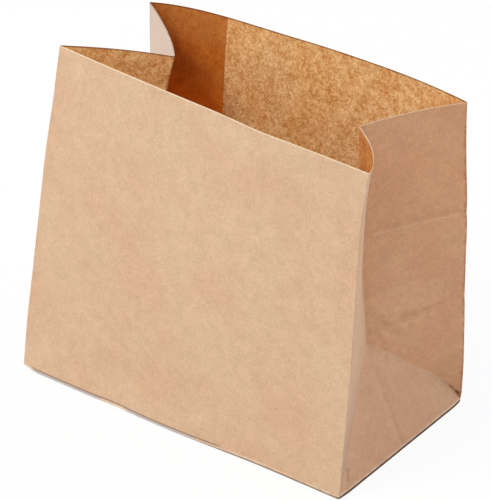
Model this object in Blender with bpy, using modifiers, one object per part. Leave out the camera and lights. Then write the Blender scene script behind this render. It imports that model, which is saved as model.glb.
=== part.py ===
"""Brown paper lunch bag, open and standing on its block bottom.

One sheet of brown paper, folded to a gusseted tube with a lapped seam down its back, and closed below by
folded and glued flaps. The bag stands on +Z, its wide front faces -Y, and the origin is the middle of the
base, on the underside of the lowest flap. Units are metres.

A height here is measured up the paper from the base's fold, and a width is measured across it.
"""

import math

import bmesh
import bpy
from mathutils import Vector

# The folded bag
BAG_WIDTH = 0.260
BAG_DEPTH = 0.150
PANEL_HEIGHT = 0.225
PAPER = 0.00015
LAP_WIDTH = 0.059
FLAP_OVERLAP = 0.020
GLUED_BITE = 0.00005
FLAP_SETBACK = 0.0002
END_SHEET_SETBACK = 0.001
SEAM_STEP = 0.0003

# How the four upright folds stand: the rim's shift from the base corner in X and Y, the bow in mid height
FRONT_LEFT_SHIFT = (0.0030, 0.0383)
FRONT_RIGHT_SHIFT = (-0.0002, 0.0025)
BACK_LEFT_SHIFT = (0.0012, -0.0162)
BACK_RIGHT_SHIFT = (-0.0053, -0.0217)
FRONT_LEFT_BOW = (-0.0014, -0.0011)
BACK_LEFT_BOW = (-0.0015, 0.0)
BACK_RIGHT_BOW = (0.0010, 0.0)
NO_BOW = (0.0, 0.0)
CORNER_FLARE = 0.0037
FLARE_HEIGHT = 0.056

# How far the two wide panels belly out at the rim
FRONT_BELLY = 0.0024
BACK_BELLY = 0.0168

# The gussets: the lean of the foot triangle, the middle fold's place at the rim, and each half's bow there
RIGHT_FOOT_LEAN = math.radians(24.8)
RIGHT_FOLD_DEPTH = 0.0410
RIGHT_FOLD_SHIFT = -0.0121
RIGHT_FOLD_DROP = 0.0055
RIGHT_FRONT_BOW = 0.0045
RIGHT_FRONT_SKEW = 0.26
RIGHT_BACK_BOW = -0.0030
LEFT_FOOT_LEAN = math.radians(25.5)
LEFT_FOLD_DEPTH = 0.0592
LEFT_FOLD_SHIFT = 0.0121
LEFT_FOLD_DROP = 0.0104
LEFT_FRONT_BOW = 0.0038
LEFT_BACK_BOW = -0.0006

# How finely the sheet is divided
PANEL_COLUMNS = 14
HALF_GUSSET_COLUMNS = 5
UPPER_ROWS = 10

# What follows from those sizes
APEX_HEIGHT = BAG_DEPTH / 2
FLAP_LENGTH = BAG_DEPTH / 2 + FLAP_OVERLAP / 2
FLOOR_Z = 2 * PAPER
PAPER_BROWN = (0.723, 0.493, 0.305, 1.0)


def lerp(a, b, share):
    return a + (b - a) * share


def arch(share, skew=0.0):
    """A bow that is 0 at both ends and 1 in the middle, its crown moved towards the start by a skew."""
    return 4 * share * (1 - share) * (1 + skew * (1 - 2 * share))


class UprightFold:
    """One of the four upright folds, from its base corner to the rim."""

    def __init__(self, side, end, shift, bow, flare=0.0):
        self.foot = Vector((side * BAG_WIDTH / 2, end * BAG_DEPTH / 2, FLOOR_Z))
        rise = math.sqrt(PANEL_HEIGHT**2 - shift[0] ** 2 - shift[1] ** 2)
        self.lean = Vector((shift[0], shift[1], rise))
        self.bow = Vector((bow[0], bow[1], 0))
        self.flare = flare

    def at(self, height):
        share = height / PANEL_HEIGHT
        point = self.foot + self.lean * share + self.bow * arch(share)
        flaring = max(0.0, (height - PANEL_HEIGHT + FLARE_HEIGHT) / FLARE_HEIGHT)
        point.x += self.flare * flaring**2
        return point


class Gusset:
    """A side wall folded inwards down its middle, above a foot triangle that leans in from the base."""

    def __init__(self, side, front, back, foot_lean, depth, shift, drop, front_bow, back_bow, skew=0.0):
        self.side = side
        self.front = front
        self.back = back
        self.front_bow = front_bow
        self.back_bow = back_bow
        self.skew = skew
        self.foot_middle = Vector((side * BAG_WIDTH / 2, 0, FLOOR_Z))
        inwards = Vector((-side * math.sin(foot_lean), 0, math.cos(foot_lean)))
        self.apex = self.foot_middle + inwards * APEX_HEIGHT
        self.rim = Vector((side * (BAG_WIDTH / 2 - depth), shift, FLOOR_Z + PANEL_HEIGHT - drop))

    def on_foot(self, across, height):
        """A point of the flat foot triangle, with its width measured from the front fold."""
        along = Vector((0, across - BAG_DEPTH / 2, 0))
        return self.foot_middle + along + (self.apex - self.foot_middle) * (height / APEX_HEIGHT)

    def middle_fold(self, height):
        return lerp(self.apex, self.rim, (height - APEX_HEIGHT) / (PANEL_HEIGHT - APEX_HEIGHT))

    def at(self, across, height):
        from_front = across <= BAG_DEPTH / 2
        fold = self.front if from_front else self.back
        from_fold = across if from_front else BAG_DEPTH - across
        inner_width = min(height, APEX_HEIGHT)
        if from_fold >= inner_width:
            if height <= APEX_HEIGHT:
                return self.on_foot(across, height)
            return self.middle_fold(height)
        outer = fold.at(height)
        if height <= APEX_HEIGHT:
            crease_across = height if from_front else BAG_DEPTH - height
            return lerp(outer, self.on_foot(crease_across, height), from_fold / inner_width)
        inner = self.middle_fold(height)
        share = from_fold / inner_width
        outwards = (inner - outer).cross(Vector((0, 0, 1)))
        if outwards.x * self.side < 0:
            outwards.negate()
        bow = self.front_bow if from_front else self.back_bow
        skew = self.skew if from_front else 0.0
        opening = (height - APEX_HEIGHT) / (PANEL_HEIGHT - APEX_HEIGHT)
        return lerp(outer, inner, share) + outwards.normalized() * bow * opening * arch(share, skew)


def panel_point(left, right, belly, share, height):
    """A point of a wide panel between two folds; it bellies out more and more towards the rim."""
    point = lerp(left.at(height), right.at(height), share)
    outwards = Vector((0, 1 if left.foot.y > 0 else -1, 0))
    return point + outwards * belly * (height / PANEL_HEIGHT) ** 2 * arch(share)


def shares_with_seam():
    """Shares across the back panel from its left fold, with a narrow step at the lap's cut edge."""
    plain = [i / PANEL_COLUMNS for i in range(PANEL_COLUMNS + 1)]
    edge = LAP_WIDTH / BAG_WIDTH
    step = SEAM_STEP / BAG_WIDTH
    clear = 0.25 / PANEL_COLUMNS
    kept = [s for s in plain if not edge - clear < s < edge + step + clear or s in (0, 1)]
    return sorted(kept + [edge, edge + step])


def row_heights():
    lower = [APEX_HEIGHT * i / HALF_GUSSET_COLUMNS for i in range(HALF_GUSSET_COLUMNS)]
    upper = [lerp(APEX_HEIGHT, PANEL_HEIGHT, i / UPPER_ROWS) for i in range(UPPER_ROWS + 1)]
    return lower + upper


def sheet_columns():
    """The sheet's upright lines, once round the bag from the front left fold.

    Each is (the function of height that places it, whether it lies in the lap, the slant of the crease
    in the next strip: 1 rising, -1 falling, 0 none).
    """
    front_left = UprightFold(-1, -1, FRONT_LEFT_SHIFT, FRONT_LEFT_BOW)
    front_right = UprightFold(1, -1, FRONT_RIGHT_SHIFT, NO_BOW, CORNER_FLARE)
    back_left = UprightFold(-1, 1, BACK_LEFT_SHIFT, BACK_LEFT_BOW)
    back_right = UprightFold(1, 1, BACK_RIGHT_SHIFT, BACK_RIGHT_BOW)
    right = Gusset(1, front_right, back_right, RIGHT_FOOT_LEAN, RIGHT_FOLD_DEPTH, RIGHT_FOLD_SHIFT,
                   RIGHT_FOLD_DROP, RIGHT_FRONT_BOW, RIGHT_BACK_BOW, RIGHT_FRONT_SKEW)
    left = Gusset(-1, front_left, back_left, LEFT_FOOT_LEAN, LEFT_FOLD_DEPTH, LEFT_FOLD_SHIFT,
                  LEFT_FOLD_DROP, LEFT_FRONT_BOW, LEFT_BACK_BOW)
    columns = []
    for i in range(PANEL_COLUMNS):
        share = i / PANEL_COLUMNS
        columns.append((lambda h, s=share: panel_point(front_left, front_right, FRONT_BELLY, s, h), False, 0))
    gusset_columns = 2 * HALF_GUSSET_COLUMNS
    for i in range(gusset_columns):
        across = BAG_DEPTH * i / gusset_columns
        slant = 1 if i < HALF_GUSSET_COLUMNS else -1
        columns.append((lambda h, a=across: right.at(a, h), False, slant))
    lap_share = LAP_WIDTH / BAG_WIDTH
    for share in reversed(shares_with_seam()[1:]):
        in_lap = share <= lap_share
        columns.append((lambda h, s=share: panel_point(back_left, back_right, BACK_BELLY, s, h), in_lap, 0))
    for i in range(gusset_columns):
        across = BAG_DEPTH * (1 - i / gusset_columns)
        slant = 1 if i < HALF_GUSSET_COLUMNS else -1
        columns.append((lambda h, a=across: left.at(a, h), i == 0, slant))
    return columns


def make_sheet(collection):
    """The bag's outer skin as one open surface, thickened inwards to one layer of paper, or two in the lap."""
    columns = sheet_columns()
    heights = row_heights()
    bm = bmesh.new()
    grid = [[bm.verts.new(place(height)) for height in heights] for place, _, _ in columns]
    for i, (_, _, slant) in enumerate(columns):
        here, following = grid[i], grid[(i + 1) % len(columns)]
        for j in range(len(heights) - 1):
            corners = (here[j], following[j], following[j + 1], here[j + 1])
            if slant == 0:
                bm.faces.new(corners)
            elif slant > 0:
                bm.faces.new((corners[0], corners[1], corners[2]))
                bm.faces.new((corners[0], corners[2], corners[3]))
            else:
                bm.faces.new((corners[0], corners[1], corners[3]))
                bm.faces.new((corners[1], corners[2], corners[3]))
    bm.faces.new([line[0] for line in reversed(grid)])
    mesh = bpy.data.meshes.new("paper_bag")
    bm.to_mesh(mesh)
    bm.free()
    bag = bpy.data.objects.new("paper_bag", mesh)
    collection.objects.link(bag)

    layers = bag.vertex_groups.new(name="two_layers")
    rows = len(heights)
    for i, (_, in_lap, _) in enumerate(columns):
        layers.add(range(i * rows, (i + 1) * rows), 1.0 if in_lap else 0.5, "REPLACE")
    thickness = bag.modifiers.new("paper_thickness", "SOLIDIFY")
    thickness.thickness = 2 * PAPER
    thickness.offset = -1
    thickness.use_even_offset = True
    thickness.vertex_group = layers.name
    return bag


def make_plate(name, outline, low, high, collection):
    """A flat layer of the bottom, hidden by itself, because it is one sheet with the bag."""
    bm = bmesh.new()
    face = bm.faces.new([bm.verts.new((x, y, low)) for x, y in outline])
    raised = bmesh.ops.extrude_face_region(bm, geom=[face])["geom"]
    bmesh.ops.translate(bm, verts=[v for v in raised if isinstance(v, bmesh.types.BMVert)], vec=(0, 0, high - low))
    bmesh.ops.recalc_face_normals(bm, faces=bm.faces)
    mesh = bpy.data.meshes.new(name)
    bm.to_mesh(mesh)
    bm.free()
    plate = bpy.data.objects.new(name, mesh)
    plate.hide_render = True
    plate.display_type = "WIRE"
    collection.objects.link(plate)
    return plate


def flap_outline(end):
    """A long flap folded under from the front (-1) or the back (1), its ends running in at 45 degrees."""
    half_width = BAG_WIDTH / 2 - FLAP_SETBACK
    fold = BAG_DEPTH / 2 - FLAP_SETBACK
    tip = fold - FLAP_LENGTH
    short = half_width - FLAP_LENGTH
    return [(-half_width, end * fold), (half_width, end * fold), (short, end * tip), (-short, end * tip)]


def end_sheet_outline(side):
    """A gusset's own end, which lies flat inside on the floor."""
    outer = side * (BAG_WIDTH / 2 - END_SHEET_SETBACK)
    inner = side * (BAG_WIDTH / 2 - FLAP_LENGTH)
    half_depth = BAG_DEPTH / 2 - END_SHEET_SETBACK
    return [(inner, -half_depth), (outer, -half_depth), (outer, half_depth), (inner, half_depth)]


def glue_bottom(bag, collection):
    """Joins the layers under and on the floor to the bag: the back flap is the lowest."""
    floor_top = FLOOR_Z + PAPER
    plates = [
        make_plate("front_flap", flap_outline(-1), PAPER, FLOOR_Z + GLUED_BITE, collection),
        make_plate("back_flap", flap_outline(1), 0, FLOOR_Z + GLUED_BITE, collection),
        make_plate("right_end_sheet", end_sheet_outline(1), floor_top - GLUED_BITE, floor_top + PAPER, collection),
        make_plate("left_end_sheet", end_sheet_outline(-1), floor_top - GLUED_BITE, floor_top + PAPER, collection),
    ]
    for plate in plates:
        glue = bag.modifiers.new("glued_" + plate.name, "BOOLEAN")
        glue.operation = "UNION"
        glue.object = plate


def paper_material():
    material = bpy.data.materials.new("brown_paper")
    material.use_nodes = True
    shader = material.node_tree.nodes["Principled BSDF"]
    shader.inputs["Base Color"].default_value = PAPER_BROWN
    shader.inputs["Roughness"].default_value = 0.85
    shader.inputs["Metallic"].default_value = 0.0
    material.diffuse_color = PAPER_BROWN
    return material


def main():
    for obj in list(bpy.data.objects):
        bpy.data.objects.remove(obj, do_unlink=True)
    parts = bpy.data.collections.new("brown_paper_lunch_bag")
    layers = bpy.data.collections.new("bottom_layers")
    for collection in (parts, layers):
        bpy.context.scene.collection.children.link(collection)
    bag = make_sheet(parts)
    glue_bottom(bag, layers)
    bag.data.materials.append(paper_material())


main()
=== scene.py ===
"""The looks of the brown paper lunch bag: its paper, folds, creases, cut edges, light and view.

Lengths are metres in the model's own frame. A place on the paper is given flat: how far it lies round the
bag from the front left fold, and how high up the paper from the base.
"""

import math

import bmesh
import bpy
import numpy as np
from mathutils import Matrix, Vector, noise


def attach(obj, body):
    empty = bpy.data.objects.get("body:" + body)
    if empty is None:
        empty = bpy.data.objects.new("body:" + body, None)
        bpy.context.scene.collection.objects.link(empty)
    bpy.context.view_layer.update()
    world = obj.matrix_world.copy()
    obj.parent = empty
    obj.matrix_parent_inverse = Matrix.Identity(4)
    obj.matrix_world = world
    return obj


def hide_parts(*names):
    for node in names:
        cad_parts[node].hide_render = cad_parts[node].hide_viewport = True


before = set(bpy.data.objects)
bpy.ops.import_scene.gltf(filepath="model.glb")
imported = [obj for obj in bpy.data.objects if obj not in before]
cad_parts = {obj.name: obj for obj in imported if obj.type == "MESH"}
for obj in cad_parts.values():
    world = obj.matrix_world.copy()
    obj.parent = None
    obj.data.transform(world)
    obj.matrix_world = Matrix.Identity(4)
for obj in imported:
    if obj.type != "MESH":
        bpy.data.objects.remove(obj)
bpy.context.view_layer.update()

# The folded bag, as its solids have it
BAG_WIDTH = 0.26
BAG_DEPTH = 0.15
PANEL_HEIGHT = 0.2265
PAPER = 0.00015
LAP_WIDTH = 0.059
LAP_EDGE_IN = 0.006
FLAP_OVERLAP = 0.02
APEX_HEIGHT = BAG_DEPTH / 2
FLAP_LENGTH = BAG_DEPTH / 2 + FLAP_OVERLAP / 2
FLOOR_Z = 2 * PAPER
# Flat places closer than this are the same place
SAME_PLACE = 1e-6

# Where each upright fold and the lap's two edges lie round the bag
FOLD_FRONT_RIGHT = BAG_WIDTH
FOLD_RIGHT_MIDDLE = BAG_WIDTH + BAG_DEPTH / 2
FOLD_BACK_RIGHT = BAG_WIDTH + BAG_DEPTH
FOLD_BACK_LEFT = 2 * BAG_WIDTH + BAG_DEPTH
FOLD_LEFT_MIDDLE = FOLD_BACK_LEFT + BAG_DEPTH / 2
ROUND = 2 * (BAG_WIDTH + BAG_DEPTH)
FOLDS = (0.0, FOLD_FRONT_RIGHT, FOLD_RIGHT_MIDDLE, FOLD_BACK_RIGHT, FOLD_BACK_LEFT, FOLD_LEFT_MIDDLE, ROUND)
SEAM = FOLD_BACK_LEFT - LAP_WIDTH
OUTER_SEAM = FOLD_BACK_LEFT - LAP_EDGE_IN

# Upright folds: side, end, rim shift in X and Y, bow in mid height, flare at the rim
FRONT_LEFT = dict(side=-1, end=-1, shift=(0.003, 0.0383), bow=(-0.0014, -0.0011), flare=(-0.0008, 0, 0.0008))
FRONT_RIGHT = dict(side=1, end=-1, shift=(-0.0002, 0.0025), bow=(0.0018, 0.0), flare=(0.0053, -0.0007, -0.0006))
BACK_LEFT = dict(side=-1, end=1, shift=(0.0012, -0.0162), bow=(-0.0015, 0.0), flare=(0, 0, 0))
BACK_RIGHT = dict(side=1, end=1, shift=(-0.0053, -0.0217), bow=(0.0018, 0.0), flare=(0.001, 0, 0))
FLARE_HEIGHT = 0.056

# How far the two wide walls swell at the rim, and where
FRONT_BELLY = 0.0017
FRONT_SWELL = 0.002
FRONT_SWELL_AT = 0.68
FRONT_SWELL_REACH = 0.095
BACK_BELLY = 0.0142
BACK_BELLY_LEFT = 5.6
BACK_BELLY_RIGHT = 2.45

# Gussets: their front and back folds, lean of the foot triangle, the middle fold's place at the rim, the bow of
# each half there, and the sag of the back diagonal
RIGHT_GUSSET = dict(side=1, folds=(FOLD_FRONT_RIGHT, FOLD_BACK_RIGHT), lean=math.radians(26.3), depth=0.041,
                    shift=-0.0121, drop=0.0055, fold_bow=-0.0015, front_bow=0.0045, skew=0.26, back_bow=-0.003,
                    sag=0.008, front=FRONT_RIGHT, back=BACK_RIGHT)
LEFT_GUSSET = dict(side=-1, folds=(ROUND, FOLD_BACK_LEFT), lean=math.radians(25.5), depth=0.0592,
                   shift=0.0121, drop=0.0104, fold_bow=0.0, front_bow=0.003, skew=0.0, back_bow=-0.0032,
                   sag=0.0, front=FRONT_LEFT, back=BACK_LEFT)
GUSSETS = (RIGHT_GUSSET, LEFT_GUSSET)
FOLD_BOW_SKEW = 0.5
# The height at which a gusset's diagonal fold sags most out of its 45 degrees
SAG_HEIGHT = 0.024
# Which fold of a gusset a place in it is measured from
FRONT, MIDDLE, BACK = range(3)

# How finely the sheet is divided, and how round its folds are
GRID = 0.0025
SEAM_STEP = 0.0006
OUTER_STEP = 0.0003
OUTER_STEP_FADE = 0.03
SEAM_CLEARANCE = 0.4 * GRID
FOLD_REACH = 0.0009
FOLD_COLUMNS = (0.0004, 0.0009, 0.0016)
FOOT_ROWS = (0.0002, 0.0005, 0.0009, 0.0014, 0.0019)
APEX_ROW = 0.0009
RIM_ROW = 0.0007


def lerp(a, b, share):
    """The points at this share of the way from a to b."""
    return a + (b - a) * share[..., None]


def arch(share, skew=0.0):
    """A bow of height 1 between two ends, fuller towards the first where it is skewed."""
    return 4 * share * (1 - share) * (1 + skew * (1 - 2 * share))


def upright_fold(fold, height):
    """Points of an upright fold at these heights."""
    foot = np.array([fold["side"] * BAG_WIDTH / 2, fold["end"] * BAG_DEPTH / 2, FLOOR_Z])
    dx, dy = fold["shift"]
    lean = np.array([dx, dy, math.sqrt(PANEL_HEIGHT**2 - dx**2 - dy**2)])
    share = height / PANEL_HEIGHT
    bow = np.array([*fold["bow"], 0.0])
    flaring = np.clip((height - PANEL_HEIGHT + FLARE_HEIGHT) / FLARE_HEIGHT, 0, None)
    flare = np.array(fold["flare"])
    return foot + lean * share[..., None] + bow * arch(share)[..., None] + flare * (flaring**2)[..., None]


def flat_topped(share, left, right):
    """An arch that rises steeply at an end with a high number and gently at one with a low number."""
    away = np.abs(1 - 2 * share)
    return 1 - np.where(share < 0.5, away**left, away**right)


def front_belly(share):
    """How far the front wall stands out at the rim, along its width."""
    swell = np.exp(-(((share - FRONT_SWELL_AT) / FRONT_SWELL_REACH) ** 2))
    return FRONT_BELLY * arch(share) + FRONT_SWELL * swell * np.clip(8 * share * (1 - share), 0, 1)


def back_belly(share):
    """How far the back wall stands out at the rim, along its width."""
    return BACK_BELLY * flat_topped(share, BACK_BELLY_LEFT, BACK_BELLY_RIGHT)


def wide_panel(left, right, belly, end, share, height):
    """Points of the front or back wall, between its two upright folds."""
    share = np.clip(share, 0, 1)
    point = lerp(upright_fold(left, height), upright_fold(right, height), share)
    point[..., 1] += end * belly(share) * (height / PANEL_HEIGHT) ** 2
    return point


def diagonal_reach(height, sag):
    """How far a gusset's diagonal fold lies from the upright fold beside it."""
    up = np.clip(height, 1e-9, APEX_HEIGHT)
    return up - sag * up / SAG_HEIGHT * np.exp(1 - up / SAG_HEIGHT) * (1 - (up / APEX_HEIGHT) ** 3)


def gusset(shape, across, height):
    """Points of a folded side wall, with their width measured from its front fold."""
    side = shape["side"]
    foot_middle = np.array([side * BAG_WIDTH / 2, 0, FLOOR_Z])
    rise = np.array([-side * math.sin(shape["lean"]), 0, math.cos(shape["lean"])])
    rim = np.array([side * (BAG_WIDTH / 2 - shape["depth"]), shape["shift"], FLOOR_Z + PANEL_HEIGHT - shape["drop"]])
    apex = foot_middle + rise * APEX_HEIGHT

    def on_foot(width, up):
        point = foot_middle + rise * up[..., None]
        point[..., 1] += width - BAG_DEPTH / 2
        return point

    from_front = across <= BAG_DEPTH / 2
    from_fold = np.where(from_front, across, BAG_DEPTH - across)
    low = height <= APEX_HEIGHT
    inner_width = diagonal_reach(height, np.where(from_front, 0.0, shape["sag"]))
    outer = np.where(from_front[..., None], upright_fold(shape["front"], height), upright_fold(shape["back"], height))
    crease_across = np.where(from_front, inner_width, BAG_DEPTH - inner_width)
    opening = np.clip((height - APEX_HEIGHT) / (PANEL_HEIGHT - APEX_HEIGHT), 0, None)
    middle = lerp(apex, rim, opening)
    middle[..., 0] += shape["fold_bow"] * arch(opening, FOLD_BOW_SKEW)
    inner = np.where(low[..., None], on_foot(crease_across, np.minimum(height, APEX_HEIGHT)), middle)
    share = np.clip(from_fold / inner_width, 0, 1)
    chord = inner - outer
    outwards = np.stack([chord[..., 1], -chord[..., 0], np.zeros(share.shape)], -1)
    outwards *= np.where(outwards[..., :1] * side < 0, -1, 1)
    outwards /= np.linalg.norm(outwards, axis=-1, keepdims=True) + 1e-12
    bow = np.where(from_front, shape["front_bow"], shape["back_bow"])
    skew = np.where(from_front, shape["skew"], 0.0)
    point = lerp(outer, inner, share) + outwards * (bow * opening * arch(share, skew))[..., None]
    on_triangle = low & (from_fold > inner_width)
    return np.where(on_triangle[..., None], on_foot(across, height), point)


def folded_sheet(around, height):
    """Where the flat paper's points lie on the standing bag."""
    around = np.mod(around, ROUND)
    height = np.clip(height, 0, PANEL_HEIGHT)
    front = wide_panel(FRONT_LEFT, FRONT_RIGHT, front_belly, -1, around / BAG_WIDTH, height)
    right = gusset(RIGHT_GUSSET, np.clip(around - FOLD_FRONT_RIGHT, 0, BAG_DEPTH), height)
    back = wide_panel(BACK_LEFT, BACK_RIGHT, back_belly, 1, (FOLD_BACK_LEFT - around) / BAG_WIDTH, height)
    left = gusset(LEFT_GUSSET, np.clip(ROUND - around, 0, BAG_DEPTH), height)
    at = around[..., None]
    walls = (at < FOLD_FRONT_RIGHT, at < FOLD_BACK_RIGHT, at < FOLD_BACK_LEFT)
    return np.select(walls, (front, right, back), left)


def softened_sheet(around, height):
    """The folded sheet with its folds rounded: each point is the mean of the paper close about it."""
    offsets = np.array([-1.0, -0.5, 0.0, 0.5, 1.0]) * FOLD_REACH
    weights = np.array([1.0, 3.0, 4.0, 3.0, 1.0])
    weights /= weights.sum()
    shares = list(zip(offsets, weights))
    total = sum(wa * wu * folded_sheet(around + across, height + up) for across, wa in shares for up, wu in shares)
    # The mean of a clipped height would pull the rim down, so the rim and the foot keep their own height
    level = sum(wa * folded_sheet(around + across, height) for across, wa in shares)
    edge = np.minimum(height, PANEL_HEIGHT - height) < FOLD_REACH
    return np.where(edge[..., None], level, total)


def column_places():
    """The upright lines of the mesh, round the bag."""
    places = set()
    for start, end in zip(FOLDS, FOLDS[1:]):
        steps = round((end - start) / GRID)
        places |= {round(start + (end - start) * i / steps, 6) for i in range(steps)}
    for fold in FOLDS:
        for offset in FOLD_COLUMNS:
            places |= {round((fold + s * offset) % ROUND, 6) for s in (-1, 1)}
    near_seam = {p for p in places if min(abs(p - SEAM), abs(p - OUTER_SEAM)) < SEAM_CLEARANCE}
    steps = {SEAM, SEAM - SEAM_STEP, OUTER_SEAM, OUTER_SEAM + OUTER_STEP}
    return sorted((places - near_seam) | {round(p, 6) for p in steps})


def along_diagonal(around, height):
    """Moves the mesh's flat places in the right gusset so that its lines follow the sagging diagonal."""
    beside = FOLD_BACK_RIGHT - around
    inside = (beside > 0) & (beside < BAG_DEPTH / 2) & (height > 0) & (height < APEX_HEIGHT)
    up = np.where(inside, height, APEX_HEIGHT / 2)
    reach = diagonal_reach(up, RIGHT_GUSSET["sag"])
    near = beside * reach / up
    far = reach + (beside - up) * (BAG_DEPTH / 2 - reach) / (BAG_DEPTH / 2 - up)
    return np.where(inside, FOLD_BACK_RIGHT - np.where(beside < up, near, far), around)


def row_places():
    """The level lines of the mesh, up the paper."""
    steps = math.floor(PANEL_HEIGHT / GRID)
    places = {round(GRID * i, 6) for i in range(steps + 1)} | {PANEL_HEIGHT}
    places |= {*FOOT_ROWS, round(PANEL_HEIGHT - RIM_ROW, 6)}
    places |= {round(APEX_HEIGHT + s * APEX_ROW, 6) for s in (-1, 1)}
    return sorted(places)


def on_gusset(shape, lines):
    """A gusset's lines as flat places, from each end's fold, distance from it towards the back, and height."""
    front, back = shape["folds"]
    folds = (front, (front + back) / 2, back)
    towards = 1 if back > front else -1
    placed = []
    for start, end, *rest in lines:
        ends = [(folds[fold] + towards * off, height) for fold, off, height in (start, end)]
        placed.append((*ends, *rest))
    return placed


# Small crumples of the paper: centre round the bag, height, reach, size, depth
CRUMPLES = (
    (FOLD_RIGHT_MIDDLE + 0.008, APEX_HEIGHT, 0.016, 0.0065, 0.003),
    (FOLD_FRONT_RIGHT + 0.014, 0.013, 0.013, 0.006, 0.0014),
    (FOLD_BACK_RIGHT - 0.01, 0.008, 0.012, 0.006, 0.0008),
    (FOLD_LEFT_MIDDLE, APEX_HEIGHT, 0.016, 0.008, 0.0018),
    (ROUND - 0.012, 0.01, 0.014, 0.007, 0.0009),
    (FOLD_BACK_RIGHT + 0.15, 0.02, 0.03, 0.012, 0.0008),
)

# Where a crumple is over, in its reaches, and what sets the noise of each apart
CRUMPLE_END = 2.2
CRUMPLE_SPREAD = 50

# Pressed lines of a gusset that stand in a little: start, end, depth, reach
PRESSED_LINES = (
    ((MIDDLE, 0.002, 0.0785), (BACK, 0, 0.0865), 0.0006, 0.005),
    ((MIDDLE, 0.002, 0.15), (BACK, 0, 0.1482), 0.0006, 0.0055),
    ((MIDDLE, 0, 0), (MIDDLE, 0.001, 0.06), 0.0005, 0.004),
    ((BACK, -0.016, 0.0165), (BACK, 0, 0.0042), 0.0009, 0.0016),
)

# The paper's slow waves, and over what height above the base they and the creases come in
WAVE_SIZE = 0.06
WALL_WAVE = 0.0008
GUSSET_WAVE = 0.0012
FOOT_STIFF = 0.03
FOOT_FADE = 0.004


def smooth_step(value):
    """0 below 0 and 1 above 1, with a soft step between."""
    value = np.clip(value, 0, 1)
    return value * value * (3 - 2 * value)


def from_line(around, height, start, end):
    """How far flat places lie from a line between two others."""
    (a0, h0), (a1, h1) = start, end
    da, dh = a1 - a0, h1 - h0
    share = np.clip(((around - a0) * da + (height - h0) * dh) / (da * da + dh * dh), 0, 1)
    return np.hypot(around - a0 - share * da, height - h0 - share * dh)


def relief(around, height):
    """How far each point of the paper stands out of its smooth shape."""
    out = np.zeros(around.shape)
    ring = ROUND / (2 * math.pi * WAVE_SIZE)
    for index in np.ndindex(around.shape):
        a, h = around[index], height[index]
        turn = 2 * math.pi * a / ROUND
        wave = noise.noise(Vector((ring * math.cos(turn), ring * math.sin(turn), h / WAVE_SIZE)))
        depth = WALL_WAVE if a < FOLD_FRONT_RIGHT or FOLD_BACK_RIGHT < a < FOLD_BACK_LEFT else GUSSET_WAVE
        value = depth * wave * min(1.0, h / FOOT_STIFF)
        for centre, up, reach, size, depth in CRUMPLES:
            away = math.hypot(a - centre, h - up) / reach
            if away < CRUMPLE_END:
                ripple = noise.noise(Vector((a / size, h / size, centre * CRUMPLE_SPREAD)))
                value += depth * ripple * math.exp(-away * away) * min(1.0, h / FOOT_FADE)
        out[index] = value
    # Past its outer edge the lap lies one paper deeper, which evens out over the gusset
    past = around >= OUTER_SEAM + OUTER_STEP - SAME_PLACE
    out -= PAPER * (past * (1 - smooth_step((around - FOLD_BACK_LEFT) / OUTER_STEP_FADE)))
    for shape in GUSSETS:
        for start, end, depth, reach in on_gusset(shape, PRESSED_LINES):
            line = np.exp(-from_line(around, height, start, end) / reach)
            out -= depth * line * np.clip(height / FOOT_FADE, 0, 1)
    return out


# The base: how round its fold is, how far it bulges along the front, and how blunt its corners are
FOOT_RADIUS = 0.0008
SOFT_FOOT_RADIUS = 0.0026
FOOT_BULGE = 0.0044
SIDE_BULGE = 0.0007
FOOT_BULGE_HEIGHT = 0.018
FOOT_CORNERS = ((1, 1, 0.0036), (1, -1, 0.0024), (-1, -1, 0.0012), (-1, 1, 0.003))
CORNER_HEIGHT = 0.006
# Where inside the front and the sides the bulge starts, its growth, and its fade near a corner
FRONT_BULGE_IN, FRONT_BULGE_GROWTH = 0.03, 0.028
SIDE_BULGE_IN, SIDE_BULGE_GROWTH = 0.02, 0.018
SIDE_BULGE_FADE = 0.012
# The front's soft stretch in shares of its width: its rise, its end and fall, and the pinch in it
SOFT_RISE = 0.06
SOFT_UNTIL, SOFT_FALL = 0.46, 0.34
PINCH, PINCH_AT, PINCH_REACH = 0.25, 0.32, 0.05


def front_foot_softness(x):
    """Where along the front the base fold is soft and bulges: most on the left half."""
    share = x / BAG_WIDTH + 0.5
    pinch = PINCH * np.exp(-(((share - PINCH_AT) / PINCH_REACH) ** 2))
    return smooth_step(share / SOFT_RISE) * (1 - smooth_step((share - SOFT_UNTIL) / SOFT_FALL)) * (1 - pinch)


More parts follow.
